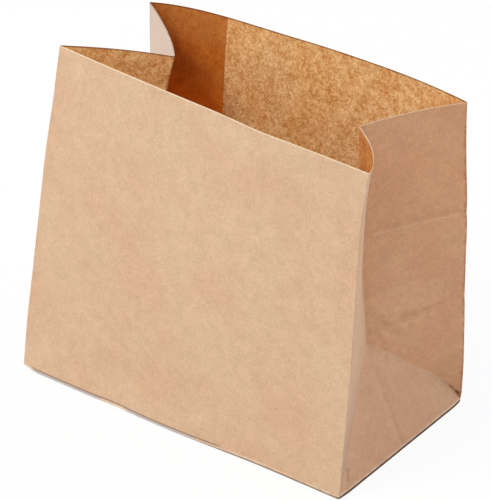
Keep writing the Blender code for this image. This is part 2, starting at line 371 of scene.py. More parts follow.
def standing_foot(points, height):
    """Rolls the paper under at the base, with its soft stretch and its blunt corners."""
    x, y, z = points[..., 0], points[..., 1], points[..., 2]
    soft = front_foot_softness(x) * (y < 0)
    at_front = smooth_step((-y - BAG_DEPTH / 2 + FRONT_BULGE_IN) / FRONT_BULGE_GROWTH)
    low = np.exp(-((height / FOOT_BULGE_HEIGHT) ** 2))
    y -= FOOT_BULGE * soft * at_front * low
    at_side = smooth_step((np.abs(x) - BAG_WIDTH / 2 + SIDE_BULGE_IN) / SIDE_BULGE_GROWTH)
    side_bulge = SIDE_BULGE * at_side * smooth_step((BAG_DEPTH / 2 - np.abs(y)) / SIDE_BULGE_FADE)
    x += np.sign(x) * side_bulge * low
    radius = FOOT_RADIUS + (SOFT_FOOT_RADIUS - FOOT_RADIUS) * soft * at_front
    turn = np.clip(1 - height / radius, 0, 1) * math.pi / 2
    inset = radius * (1 - np.cos(turn))
    rolled = turn > 0
    z[:] = np.where(rolled, FLOOR_Z + radius * (1 - np.sin(turn)), z)
    half_x = BAG_WIDTH / 2 + side_bulge - inset
    half_front = BAG_DEPTH / 2 + FOOT_BULGE * soft * at_front - inset
    half_back = BAG_DEPTH / 2 - inset
    x[:] = np.where(rolled, np.clip(x, -half_x, half_x), x)
    y[:] = np.where(rolled, np.clip(y, -half_front, half_back), y)
    for side, end, blunt in FOOT_CORNERS:
        blunt = blunt * np.exp(-((height / CORNER_HEIGHT) ** 2)) + 1e-6
        half_y = np.where(end < 0, half_front, half_back)
        cx, cy = side * (half_x - blunt), end * (half_y - blunt)
        dx, dy = x - cx, y - cy
        away = np.hypot(dx, dy)
        beyond = (dx * side > 0) & (dy * end > 0) & (away > blunt)
        shrink = np.where(beyond, blunt / np.maximum(away, 1e-9), 1)
        x[:] = np.where(beyond, cx + dx * shrink, x)
        y[:] = np.where(beyond, cy + dy * shrink, y)
    return points


def outward_normals(points):
    """Which way out of the bag the paper faces at each point of the mesh."""
    around = np.roll(points, -1, axis=0) - np.roll(points, 1, axis=0)
    up = np.gradient(points, axis=1)
    normal = np.cross(around, up)
    return normal / (np.linalg.norm(normal, axis=-1, keepdims=True) + 1e-12)


def new_object(name, data, materials=()):
    made = bpy.data.objects.new(name, data)
    bpy.context.scene.collection.objects.link(made)
    for material in materials:
        data.materials.append(material)
    return made


# Where the sheet's materials start for the lap and for its cut edge: outside, then inside, then rim
LAP_SLOT = 3
SEAM_SLOT = 6


def bottom_place(x, y):
    """A flat place for the paper of the bottom, well away from the walls'."""
    return x - 1.0, y - 1.0


def column_slot(start, end):
    """The first material of the paper between two upright lines: plain, the lap's, or its cut edge's."""
    if SEAM - SAME_PLACE <= start < FOLD_BACK_LEFT:
        return LAP_SLOT
    return SEAM_SLOT if abs(end - SEAM) < SAME_PLACE else 0


def build_sheet(materials):
    """The whole folded sheet as one skin, thickened inwards to one layer of paper, or two in the lap."""
    columns = column_places()
    rows = row_places()
    around, height = np.meshgrid(np.array(columns), np.array(rows), indexing="ij")
    around = along_diagonal(around, height)
    points = softened_sheet(around, height)
    points += outward_normals(points) * relief(around, height)[..., None]
    points = standing_foot(points, height)
    count, levels = around.shape
    corners, places, slots = [], [], []
    for i in range(count):
        following = (i + 1) % count
        start = columns[i]
        slot = column_slot(start, columns[following] if following else ROUND)
        # The two triangles of a quad meet the way that the diagonal folds run
        falling = start < FOLD_FRONT_RIGHT or FOLD_RIGHT_MIDDLE <= start < FOLD_BACK_RIGHT or start >= FOLD_LEFT_MIDDLE
        order = ((0, 1, 3), (1, 2, 3)) if falling else ((0, 1, 2), (0, 2, 3))
        for j in range(levels - 1):
            quad = ((i, j), (following, j), (following, j + 1), (i, j + 1))
            low_end, high_end = (around[following, j], around[following, j + 1]) if following else (ROUND, ROUND)
            ends = (around[i, j], low_end, high_end, around[i, j + 1])
            for triangle in order:
                corners.append([quad[k][0] * levels + quad[k][1] for k in triangle])
                places.extend((ends[k], rows[quad[k][1]]) for k in triangle)
                slots.append(slot)
    foot = [i * levels for i in range(count)][::-1]
    corners.append(foot)
    places.extend(bottom_place(*points[i // levels, 0, :2]) for i in foot)
    slots.append(0)
    mesh = bpy.data.meshes.new("bag_sheet")
    mesh.from_pydata(points.reshape(-1, 3).tolist(), [], corners)
    flat_paper = mesh.uv_layers.new(name="flat_paper")
    flat_paper.data.foreach_set("uv", np.array(places, np.float32).ravel())
    mesh.polygons.foreach_set("material_index", slots)
    mesh.shade_smooth()
    sheet = new_object("bag_sheet", mesh, materials)
    layers = sheet.vertex_groups.new(name="two_layers")
    for i, place in enumerate(columns):
        double = SEAM - SAME_PLACE <= place <= FOLD_BACK_LEFT + SAME_PLACE
        layers.add(range(i * levels, (i + 1) * levels), 1.0 if double else 0.5, "REPLACE")
    thickness = sheet.modifiers.new("paper_thickness", "SOLIDIFY")
    thickness.thickness = 2 * PAPER
    thickness.offset = -1
    thickness.vertex_group = layers.name
    thickness.material_offset = 1
    thickness.material_offset_rim = 2
    return sheet


def add(tree, kind, inputs, **settings):
    """The outputs of a new node, with its settings and its inputs filled."""
    node = tree.nodes.new("ShaderNode" + kind)
    for name, value in settings.items():
        setattr(node, name, value)
    fill(tree, node, inputs)
    return node.outputs


def fill(tree, node, inputs):
    """Gives each input a plain value or another node's output."""
    for socket, value in inputs.items():
        if isinstance(value, (int, float, tuple)):
            node.inputs[socket].default_value = value
        else:
            tree.links.new(value, node.inputs[socket])


def new_group(name, outputs, **inputs):
    """An empty shader group that takes a flat place and these inputs, with their defaults, and puts out numbers."""
    tree = bpy.data.node_groups.new(name, "ShaderNodeTree")

    def socket(label, in_out, kind):
        return tree.interface.new_socket(name=label, in_out=in_out, socket_type="NodeSocket" + kind)

    socket("Place", "INPUT", "Vector")
    for label, default in inputs.items():
        socket(label, "INPUT", "Vector" if isinstance(default, tuple) else "Float").default_value = default
    for label in outputs:
        socket(label, "OUTPUT", "Float")
    return tree, tree.nodes.new("NodeGroupInput").outputs, tree.nodes.new("NodeGroupOutput")


def math_node(tree, operation, *values):
    return add(tree, "Math", dict(enumerate(values)), operation=operation)[0]


def times(tree, first, *others):
    """The product of these values."""
    for value in others:
        first = math_node(tree, "MULTIPLY", first, value)
    return first


def times_plus(tree, value, factor, extra):
    return math_node(tree, "MULTIPLY_ADD", value, factor, extra)


def minus(tree, value, less):
    return math_node(tree, "SUBTRACT", value, less)


def vector_node(tree, operation, *values, output="Vector"):
    return add(tree, "VectorMath", dict(enumerate(values)), operation=operation)[output]


def smooth_range(tree, value, low, high):
    """0 below low and 1 above high, or the other way round, with a soft step between."""
    limits = {"Value": value, "From Min": low, "From Max": high}
    return add(tree, "MapRange", limits, interpolation_type="SMOOTHSTEP")["Result"]


def noise_node(tree, place, scale, detail, roughness, distortion=0.0):
    look = dict(Vector=place, Scale=scale, Detail=detail, Roughness=roughness, Distortion=distortion)
    return add(tree, "TexNoise", look)["Fac"]


def mix_colour(tree, share, a, b, blend="MIX"):
    return add(tree, "Mix", {0: share, 6: a, 7: b}, data_type="RGBA", blend_type=blend)[2]


def clamped(tree, value):
    return add(tree, "Clamp", {0: value})[0]


def flat_axes(tree, place):
    """How far round the bag and how high a flat place lies."""
    axes = add(tree, "SeparateXYZ", {0: place})
    return axes["X"], axes["Y"]


def centred(tree, value):
    return minus(tree, value, 0.5)


def soft_noise(tree, place, look, span):
    """Noise from 0 to 1, with a soft step over this span of it."""
    return smooth_range(tree, noise_node(tree, place, *look), *span)


# The paper's fibres as noise, turned out of its grid: (cells in a metre, detail, roughness, distortion), and span
FORMATION_TURN = (0.6, 0.9, 0.4)
CLOUDS = (110, 3.0, 0.6, 0.3)
GRANULES = ((330, 3.0, 0.72, 1.1), (0.26, 0.74))
GRAIN = ((950, 1.0, 0.5, 0.3), (0.32, 0.68))
BLUSH = ((24, 1.0, 0.5, 0.4), (0.35, 0.68))
STRANDS = (300, 1.0, 0.5, 2.2)
STRAND_WIDTH = 0.03
FLECK_SCALE = 120
# A fleck's size in its cell, and the range of it
FLECK_SIZE, FLECK_RANGE = 0.05, 0.1
# How high granules and fibres stand beside the grain
GRANULE_HEIGHT, FIBRE_HEIGHT = 0.8, 0.4


def build_formation_group():
    """How the fibres lie in the paper: soft clouds, granules, fine grain, single fibres and flecks."""
    tree, into, out = new_group("paper_formation", ("Shade", "Fleck", "Blush", "Height"),
                                Clouds=0.5, Granules=0.3, Grain=0.2, Fibres=0.1, Flecks=0.1)
    place = add(tree, "Mapping", {"Vector": into["Place"], "Rotation": FORMATION_TURN})["Vector"]
    clouds = centred(tree, noise_node(tree, place, *CLOUDS))
    granules = centred(tree, soft_noise(tree, place, *GRANULES))
    grain = centred(tree, soft_noise(tree, place, *GRAIN))
    strands = centred(tree, noise_node(tree, place, *STRANDS))
    fibres = smooth_range(tree, math_node(tree, "ABSOLUTE", strands), STRAND_WIDTH, 0.0)
    total = times(tree, clouds, into["Clouds"])
    for layer, share in ((granules, "Granules"), (grain, "Grain"), (fibres, "Fibres")):
        total = times_plus(tree, layer, into[share], total)
    blush = soft_noise(tree, place, *BLUSH)
    cells = add(tree, "TexVoronoi", dict(Vector=place, Scale=FLECK_SCALE))
    pick = add(tree, "SeparateColor", {0: cells["Color"]})
    chosen = math_node(tree, "LESS_THAN", pick[0], into["Flecks"])
    size = times_plus(tree, pick[1], FLECK_RANGE, FLECK_SIZE)
    fleck = times(tree, chosen, smooth_range(tree, cells["Distance"], size, 0.0))
    height = times_plus(tree, fibres, FIBRE_HEIGHT, times_plus(tree, granules, GRANULE_HEIGHT, grain))
    fill(tree, out, dict(Shade=total, Blush=blush, Fleck=fleck, Height=height))
    return tree


def build_crease_group():
    """A line mask across the paper, from one flat place to another, a little uneven in width and strength, for creases
    and for painted shade and highlight along them.
    """
    tree, into, out = new_group("crease_line", ("Mask",),
                                Start=(0, 0, 0), End=(0, 1, 0), Width=0.001, Ragged=1.0, Worn=1.0)
    along = vector_node(tree, "SUBTRACT", into["End"], into["Start"])
    reach = vector_node(tree, "SUBTRACT", into["Place"], into["Start"])
    dot = vector_node(tree, "DOT_PRODUCT", reach, along, output="Value")
    square = vector_node(tree, "DOT_PRODUCT", along, along, output="Value")
    share = clamped(tree, math_node(tree, "DIVIDE", dot, square))
    nearest = add(tree, "VectorMath", {0: along, "Scale": share}, operation="SCALE")["Vector"]
    off = vector_node(tree, "SUBTRACT", reach, nearest)
    distance = vector_node(tree, "LENGTH", off, output="Value")
    width = times(tree, into["Width"], into["Ragged"])
    line = smooth_range(tree, distance, width, 0.0)
    fill(tree, out, dict(Mask=clamped(tree, times(tree, line, into["Worn"]))))
    return tree


# The handling's noise and span, and the factor that it gives: its range and its least
RAGGED = ((230, 3.0, 0.65), (0.3, 0.7), (1.3, 0.35))
WORN = ((95, 3.0, 0.65), (0.28, 0.66), (1.3, 0.15))


def build_handling_group():
    """How unevenly a line runs over the paper, worn lines and painted shade and highlight alike: a factor for its
    width and one for its strength.
    """
    tree, into, out = new_group("handling", ("Ragged", "Worn"))
    for name, (look, span, factor) in (("Ragged", RAGGED), ("Worn", WORN)):
        fill(tree, out, {name: times_plus(tree, soft_noise(tree, into["Place"], look, span), *factor)})
    return tree


# How softly a gusset's half ends at its upright folds, at its middle fold and at its diagonal
WALL_SOFT = 0.0003
MIDDLE_SOFT = 0.0004
DIAGONAL_SOFT = (0.0008, -0.0012)


def build_wall_group():
    """One half of a gusset above its diagonal crease, which sags as diagonal_reach says, and its foot triangle."""
    tree, into, out = new_group("gusset_half", ("Half", "Foot"), Middle=0.3, Towards=1.0, Sag=0.0)
    around, height = flat_axes(tree, into["Place"])
    off = minus(tree, around, into["Middle"])
    distance = math_node(tree, "ABSOLUTE", off)
    inside_wall = smooth_range(tree, distance, APEX_HEIGHT + WALL_SOFT, APEX_HEIGHT - WALL_SOFT)
    turns = math_node(tree, "DIVIDE", height, SAG_HEIGHT)
    rise = times(tree, turns, math_node(tree, "POWER", math.e, minus(tree, 1.0, turns)))
    cube = math_node(tree, "POWER", math_node(tree, "DIVIDE", height, APEX_HEIGHT), 3.0)
    left_over = minus(tree, 1.0, math_node(tree, "MINIMUM", cube, 1.0))
    behind = math_node(tree, "GREATER_THAN", off, 0.0)
    reach = minus(tree, height, times(tree, rise, left_over, behind, into["Sag"]))
    above = minus(tree, math_node(tree, "ADD", reach, distance), APEX_HEIGHT)
    foot = times(tree, inside_wall, smooth_range(tree, above, *DIAGONAL_SOFT))
    this_side = smooth_range(tree, times(tree, off, into["Towards"]), -MIDDLE_SOFT, MIDDLE_SOFT)
    fill(tree, out, dict(Half=times(tree, inside_wall, this_side, minus(tree, 1.0, foot)), Foot=foot))
    return tree


# The rim's fibres as noise, the factor that they give its width (range and least), and how much of it is full
RIM_NOISE = (480, 2.0, 0.6)
RIM_FACTOR = (0.9, 0.55)
RIM_FULL = 0.35


def build_rim_group():
    """The last millimetre below the cut rim, with its uneven fibres."""
    tree, into, out = new_group("rim_band", ("Mask",), Width=0.0008)
    place = into["Place"]
    below = minus(tree, PANEL_HEIGHT, flat_axes(tree, place)[1])
    ragged = times_plus(tree, noise_node(tree, place, *RIM_NOISE), *RIM_FACTOR)
    width = times(tree, into["Width"], ragged)
    fill(tree, out, dict(Mask=smooth_range(tree, below, width, times(tree, width, RIM_FULL))))
    return tree


def place_group(tree, group, place, **inputs):
    """Places a shader group in a material, with its own values."""
    return add(tree, "Group", dict(inputs, Place=place), node_tree=group)


def tinted(tree, share, colour, tint):
    """The colour multiplied by a tint, where the share is 1."""
    return mix_colour(tree, share, colour, (*tint, 1.0), blend="MULTIPLY")


def paper_base(name, look, groups):
    """Brown paper before its folds: the fibres' shade between two browns, a warm blush and flecks."""
    material = bpy.data.materials.new(name)
    material.use_nodes = True
    tree = material.node_tree
    place = add(tree, "UVMap", {}, uv_map="flat_paper")["UV"]
    fibres = place_group(tree, groups["formation"], place, **look["shares"])
    share = clamped(tree, math_node(tree, "ADD", fibres["Shade"], 0.5))
    colour = mix_colour(tree, share, look["dark"], look["light"])
    colour = tinted(tree, fibres["Blush"], colour, look["blush"])
    colour = mix_colour(tree, fibres["Fleck"], colour, look["fleck"])
    return material, tree, place, fibres, colour


# The fibres' share in the roughness, the sheen's own roughness, and the bump's depth
ROUGHNESS_RANGE = 0.12
SHEEN_ROUGHNESS = 0.35
BUMP_DEPTH = 0.0001


def finish_paper(tree, colour, fibres, height, look):
    """Gives a paper's shader its colour, roughness, sheen and bump."""
    bump = dict(Strength=look["bump"], Distance=BUMP_DEPTH, Height=height)
    fill(tree, tree.nodes["Principled BSDF"], {
        "Base Color": colour,
        "Roughness": times_plus(tree, fibres["Shade"], ROUGHNESS_RANGE, look["roughness"]),
        "Specular IOR Level": look["gloss"],
        "Sheen Weight": look["sheen"],
        "Sheen Roughness": SHEEN_ROUGHNESS,
        "Normal": add(tree, "Bump", bump)["Normal"],
    })


def stretch(tree, value, start, end, soft=0.008):
    """One between two places, falling softly to nothing at both."""
    rising = smooth_range(tree, value, start, start + soft)
    return times(tree, rising, smooth_range(tree, value, end, end - soft))


def crease_sum(tree, place, groups, handling, creases):
    """Where any of these creases lies: start, end, width, strength."""
    total = None
    for start, end, width, strength in creases:
        line = place_group(tree, groups["crease"], place, Start=(*start, 0), End=(*end, 0), Width=width,
                           Ragged=handling["Ragged"], Worn=handling["Worn"])
        share = times(tree, line["Mask"], strength)
        total = share if total is None else math_node(tree, "MAXIMUM", total, share)
    return total


def back_diagonal(shape, heights, widths, strengths):
    """Creases along a gusset's back diagonal, from each of these heights to the next."""
    places = [(BACK, -float(diagonal_reach(h, shape["sag"])), h) for h in heights]
    return zip(places, places[1:], widths, strengths)


def creases_of(diagonal, lines):
    """The creases of both gussets, along their back diagonals and elsewhere."""
    return [crease for shape in GUSSETS for crease in on_gusset(shape, (*back_diagonal(shape, *diagonal), *lines))]


# Where the paper's coating is rubbed pale along a gusset's creases, with a painted highlight where a crease faces the
# light: start, end, width, strength
WORN_AND_LIT_DIAGONAL = ((0.072, 0.06, 0.048, 0.034, 0.021), (0.0014,) * 4, (0.5, 0.42, 0.4, 0.34))
WORN_AND_LIT_CREASES = (
    ((BACK, -0.001, 0.002), (BACK, -0.0095, 0.0112), 0.0012, 0.7),
    ((FRONT, 0, 0), (MIDDLE, 0, APEX_HEIGHT), 0.0012, 0.3),
    ((MIDDLE, 0.018, 0.0787), (MIDDLE, 0.05, 0.0797), 0.0017, 0.62),
    ((MIDDLE, 0.01, 0.1493), (BACK, -0.006, 0.1478), 0.0015, 0.46),
    ((MIDDLE, -0.002, 0.01), (MIDDLE, -0.001, 0.056), 0.003, 0.14),
    ((MIDDLE, 0.014, 0.06), (MIDDLE, 0.022, 0.115), 0.03, 0.16),
    ((FRONT, 0.0125, 0.015), (FRONT, 0.018, 0.0095), 0.0013, 0.32),
)
# Painted shade along and beside a gusset's creases and folds, where the paper turns from the light: start, end, width,
# strength
SHADED_DIAGONAL = ((0.0225, 0.015, 0.009, 0.0042), (0.0011, 0.0015, 0.0017), (0.7, 1.0, 1.0))
SHADED_CREASES = (
    ((MIDDLE, 0.006, 0.082), (MIDDLE, 0.038, 0.0846), 0.005, 0.28),
    ((MIDDLE, 0.038, 0.0846), (BACK, 0, 0.0872), 0.0026, 0.24),
    ((MIDDLE, 0.004, 0.08), (MIDDLE, 0.013, 0.087), 0.009, 0.24),
    ((MIDDLE, 0.0015, 0.073), (MIDDLE, 0.003, 0.08), 0.0036, 0.34),
    ((MIDDLE, 0.006, 0.156), (MIDDLE, 0.026, 0.152), 0.0085, 0.28),
    ((MIDDLE, 0.026, 0.1515), (BACK, 0, 0.1502), 0.005, 0.18),
    ((MIDDLE, 0.002, 0.004), (MIDDLE, 0.0016, 0.052), 0.0034, 0.16),
    ((MIDDLE, 0.002, APEX_HEIGHT), (MIDDLE, 0.002, PANEL_HEIGHT), 0.0075, 0.24),
    ((FRONT, 0.011, 0.0175), (FRONT, 0.0165, 0.013), 0.0019, 0.4),
    ((FRONT, 0.0165, 0.013), (FRONT, 0.014, 0.0075), 0.0019, 0.4),
    ((BACK, -0.0003, 0.004), (BACK, -0.0003, PANEL_HEIGHT), 0.0024, 0.8),
    ((BACK, -0.004, 0.02), (BACK, -0.004, 0.1), 0.024, 0.1),
    ((MIDDLE, 0.008, 0.12), (MIDDLE, 0.016, 0.17), 0.026, 0.12),
)
# Painted shade in the pinch where a gusset's diagonal runs into the back corner
PINCHED_CORNER = (((BACK, -0.003, 0.0085), (BACK, 0, 0.0044), 0.0013, 0.85),)

# Pale bare fibres, also used for painted highlights, and a brown for painted shade
PALE_FIBRE_AND_HIGHLIGHT = (0.9, 0.745, 0.565, 1.0)
SHADE_BROWN = (0.62, 0.46, 0.36)

# Papers: two browns, a warm blush, how much each layer of fibres shows, and the shader's values
OUTSIDE_LOOK = dict(
    light=(0.706, 0.486, 0.315, 1), dark=(0.533, 0.353, 0.218, 1), blush=(0.985, 0.93, 0.92),
    shares=dict(Clouds=0.88, Granules=0.42, Grain=0.36, Fibres=0.06, Flecks=0.07),
    fleck=(0.44, 0.27, 0.16, 1), roughness=0.62, gloss=0.3, sheen=0.22, bump=0.15)
# Painted light: the inside is painted lighter and more orange than its paper, as if lit through it from behind
INSIDE_BACKLIT_LOOK = dict(
    light=(1.0, 0.71, 0.37, 1), dark=(0.626, 0.27, 0.064, 1), blush=(0.98, 0.91, 0.8),
    shares=dict(Clouds=1.2, Granules=0.95, Grain=0.36, Fibres=0.08, Flecks=0.06),
    fleck=(0.2, 0.08, 0.02, 1), roughness=0.8, gloss=0.2, sheen=0.0, bump=0.3)
# Painted shade: the lap is painted darker and deeper brown, as its two layers let less light through
LAP_SHADED_LOOK = dict(
    light=(0.64, 0.265, 0.062, 1), dark=(0.45, 0.13, 0.018, 1), blush=(0.97, 0.93, 0.9),
    shares=dict(Clouds=1.25, Granules=0.6, Grain=0.34, Fibres=0.05, Flecks=0.05),
    fleck=(0.25, 0.08, 0.02, 1), roughness=0.75, gloss=0.2, sheen=0.0, bump=0.2)
EDGE_LOOK = dict(
    light=(0.86, 0.7, 0.53, 1), dark=(0.7, 0.52, 0.36, 1), blush=(1.0, 0.97, 0.94),
    shares=dict(Clouds=0.3, Granules=0.5, Grain=0.5, Fibres=0.3, Flecks=0.0),
    fleck=(0.5, 0.3, 0.2, 1), roughness=0.85, gloss=0.2, sheen=0.1, bump=0.2)

# Painted shade on the gussets' outer faces: warm tints that stand in for their own shade and the light through the
# paper, and the heights between which a tint comes in
RIGHT_BACK_SHADE = (1.02, 0.845, 0.755)
RIGHT_BACK_HIGH_SHADE = (0.98, 0.95, 0.9)
RIGHT_BACK_HIGH = (0.1, 0.17)
RIGHT_FRONT_SHADE = (0.953, 0.855, 0.755)
RIGHT_FRONT_LOW_SHADE = (0.78, 0.765, 0.755)
RIGHT_FRONT_LOW = (0.09, 0.02)
FOOT_TRIANGLE_SHADE = (0.98, 0.865, 0.83)
LEFT_FRONT_SHADE = (1.0, 0.93, 0.89)
# Painted light: the left gusset's back half is paled up to a height, as where light grazes it
LEFT_BACK_LIT_PALE = (0.612, 0.478, 0.385, 1.0)
LEFT_BACK_LIT_HEIGHTS = (0.0, 0.19)
LEFT_BACK_LIT_SHARE = 0.9

# How pale the paper is rubbed at creases, folds and the seam, and how pale the base fold's painted highlight is
CREASE_WEAR_AND_LIGHT = 0.3
FOLD_RUB = 0.25
FOOT_HIGHLIGHT = 0.42
SEAM_RUB = 0.5
# Rubbed upright folds: width and strength
FOLD_WEAR = (0.0011, 0.5)
# How far a rubbed crease stands out beside the fibres, and a shaded one in
WORN_HEIGHT = 2.0
SHADED_HEIGHT = -3.0

# Bands along the base, each from where it is gone to where it is full
ON_WALL = (-0.001, -0.0005)
FOOT_HIGHLIGHT_BAND = (0.0036, 0.002)
UNDER_BAND = (0.002, 0.0015)
SOLE_BAND = (0.0031, 0.0025)
SOLE_LINE_BAND = (0.0041, 0.0036)
FOOT_SHADE = (0.13, 0.075, 0.048)
# The shade under the base: its share on the front, and over what it grows to full at the corner
FRONT_UNDER = 0.65
CORNER_SOFT = 0.003
# Painted shade at the soft underside of the front fold at the base, grey as in shadow, and a painted dark line of
# shade above it
SOLE_SHADE_GREY = (0.52, 0.46, 0.435, 1.0)
SOLE_LINE = (0.15, 0.115, 0.1, 1.0)
SOLE_LINE_SHARE = 0.7
SOLE_STRETCHES = ((0.008, 0.074), (0.09, 0.154))
SOLE_LINE_STRETCH = (0.006, 0.172)
SOLE_END = 0.15
SOLE_END_SOFT = 0.03

# The rim: how wide and pale it is, with bare fibres and a painted highlight where the cut catches the light, how much
# less pale on the right gusset's back half, and its two colours, the pale one and a painted shadow for the left
# gusset's back half
RIM_WIDTH = 0.0009
RIM_PALE = 0.75
RIM_DULLING = -0.4
RIM_HIGHLIGHT_CREAM = (0.88, 0.73, 0.5, 1.0)
RIM_SHADOW = (0.2, 0.12, 0.08)
# The lap's outer edge and the shade beside it: start, end, width, strength
SEAM_WEAR = ((OUTER_SEAM, 0.0), (OUTER_SEAM, PANEL_HEIGHT), 0.0007, 0.8)
SEAM_SHADE = ((OUTER_SEAM + 0.0006, 0.0), (OUTER_SEAM + 0.0006, PANEL_HEIGHT), 0.0011, 0.7)


def outside_paper(groups):
    """The sheet's outer face: the gussets' painted shade and light, the creases' wear with painted shade and
    highlight, rubbed folds, the base's painted shade and highlight, the seam and the rim.
    """
    material, tree, place, fibres, colour = paper_base("outside_paper", OUTSIDE_LOOK, groups)
    around, up = flat_axes(tree, place)

    def half_and_foot(middle, towards, sag=0.0):
        wall = place_group(tree, groups["wall"], place, Middle=middle, Towards=towards, Sag=sag)
        return wall["Half"], wall["Foot"]

    def at_heights(heights):
        return smooth_range(tree, up, *heights)

    right_back, right_foot = half_and_foot(FOLD_RIGHT_MIDDLE, 1.0, RIGHT_GUSSET["sag"])
    right_front, _ = half_and_foot(FOLD_RIGHT_MIDDLE, -1.0)
    left_back, _ = half_and_foot(FOLD_LEFT_MIDDLE, -1.0)
    left_front, left_foot = half_and_foot(FOLD_LEFT_MIDDLE, 1.0)
    # Painted shade: each gusset half and foot triangle is tinted as it lies in shade
    shades = (
        (right_back, RIGHT_BACK_SHADE),
        (times(tree, right_back, at_heights(RIGHT_BACK_HIGH)), RIGHT_BACK_HIGH_SHADE),
        (right_front, RIGHT_FRONT_SHADE),
        (times(tree, right_front, at_heights(RIGHT_FRONT_LOW)), RIGHT_FRONT_LOW_SHADE),
        (right_foot, FOOT_TRIANGLE_SHADE),
        (left_front, LEFT_FRONT_SHADE),
        (left_foot, FOOT_TRIANGLE_SHADE),
    )
    for share, tint in shades:
        colour = tinted(tree, share, colour, tint)
    # Painted light on the left gusset's back half, pale as where light grazes it
    lit_pale = times(tree, left_back, at_heights(LEFT_BACK_LIT_HEIGHTS), LEFT_BACK_LIT_SHARE)
    colour = mix_colour(tree, lit_pale, colour, LEFT_BACK_LIT_PALE)

    handling = place_group(tree, groups["handling"], place)

    def creased(creases):
        return crease_sum(tree, place, groups, handling, creases)

    # Paler towards bare fibres where the paper is worn, and towards a painted highlight where it catches the light
    def rubbed_and_lit_pale(*shares):
        return mix_colour(tree, times(tree, *shares), colour, PALE_FIBRE_AND_HIGHLIGHT)

    # Painted shade along and beside the creases
    shaded_creases = creased(creases_of(SHADED_DIAGONAL, SHADED_CREASES))
    # Worn paleness along the creases, with a painted highlight where they catch the light
    worn_and_lit = creased(creases_of(WORN_AND_LIT_DIAGONAL, WORN_AND_LIT_CREASES))
    colour = tinted(tree, shaded_creases, colour, SHADE_BROWN)
    colour = rubbed_and_lit_pale(worn_and_lit, CREASE_WEAR_AND_LIGHT)
    folds = creased([((fold, 0.0), (fold, PANEL_HEIGHT), *FOLD_WEAR) for fold in (0.0, FOLD_FRONT_RIGHT, ROUND)])
    colour = rubbed_and_lit_pale(folds, FOLD_RUB)

    on_wall = at_heights(ON_WALL)
    # Painted highlight along the base fold where it catches the light, then painted shade under it
    colour = rubbed_and_lit_pale(at_heights(FOOT_HIGHLIGHT_BAND), on_wall, FOOT_HIGHLIGHT, handling["Worn"])
    past_sole = smooth_range(tree, around, SOLE_END - SOLE_END_SOFT, SOLE_END + SOLE_END_SOFT)
    beside = smooth_range(tree, around, FOLD_FRONT_RIGHT - CORNER_SOFT, FOLD_FRONT_RIGHT)
    strength = times_plus(tree, beside, 1 - FRONT_UNDER, FRONT_UNDER)
    colour = tinted(tree, times(tree, at_heights(UNDER_BAND), on_wall, past_sole, strength), colour, FOOT_SHADE)
    # Painted shade on the front fold's soft underside, and a painted dark line of shade above it
    sole = times(tree, at_heights(SOLE_BAND), on_wall)
    stretches = math_node(tree, "MAXIMUM", *(stretch(tree, around, *ends) for ends in SOLE_STRETCHES))
    colour = mix_colour(tree, times(tree, sole, stretches), colour, SOLE_SHADE_GREY)
    above_sole = minus(tree, times(tree, at_heights(SOLE_LINE_BAND), on_wall), sole)
    sole_line = times(tree, above_sole, stretch(tree, around, *SOLE_LINE_STRETCH), SOLE_LINE_SHARE)
    colour = mix_colour(tree, sole_line, colour, SOLE_LINE)
    # Painted shade in the pinch at each back corner
    pinched = creased([corner for shape in GUSSETS for corner in on_gusset(shape, PINCHED_CORNER)])
    colour = tinted(tree, pinched, colour, FOOT_SHADE)

    colour = rubbed_and_lit_pale(creased([SEAM_WEAR]), SEAM_RUB)
    colour = tinted(tree, creased([SEAM_SHADE]), colour, SHADE_BROWN)
    # Pale fibres with a painted highlight along the rim, and a painted shadow line on the left gusset's back half
    rim = place_group(tree, groups["rim"], place, Width=RIM_WIDTH)["Mask"]
    shadowed_rim = times(tree, rim, left_back)
    lit_rim = minus(tree, rim, shadowed_rim)
    duller = times_plus(tree, right_back, RIM_DULLING, RIM_PALE)
    colour = mix_colour(tree, times(tree, lit_rim, duller), colour, RIM_HIGHLIGHT_CREAM)
    colour = tinted(tree, shadowed_rim, colour, RIM_SHADOW)
    height = times_plus(tree, worn_and_lit, WORN_HEIGHT, fibres["Height"])
    height = times_plus(tree, shaded_creases, SHADED_HEIGHT, height)
    finish_paper(tree, colour, fibres, height, OUTSIDE_LOOK)
    return material


# The inside: its folds' width and strength, its rim's width, and the painted shade of both
INNER_FOLD = (0.0016, 0.7)
INNER_FOLD_SHADE = (0.7, 0.58, 0.46)
INNER_RIM_WIDTH = 0.0013
INNER_RIM_SHARE = 0.9
RIM_SHADE = (0.3, 0.18, 0.1)
# Painted shade on the crescent that shows of the right gusset's inner face, where little light comes through, and how
# pale the painted highlight on its rim is
CRESCENT_SHADE = (0.74, 0.54, 0.36)
CRESCENT_RIM_HIGHLIGHT = 0.8
# Painted light and shade on the lap further down, more orange and then lighter: the heights between which each tint
# comes in, and the tint
LAP_LIGHT_TINTS = (((0.215, 0.195), (1.03, 0.87, 0.58)), ((0.184, 0.16), (1.45, 1.34, 0.95)))


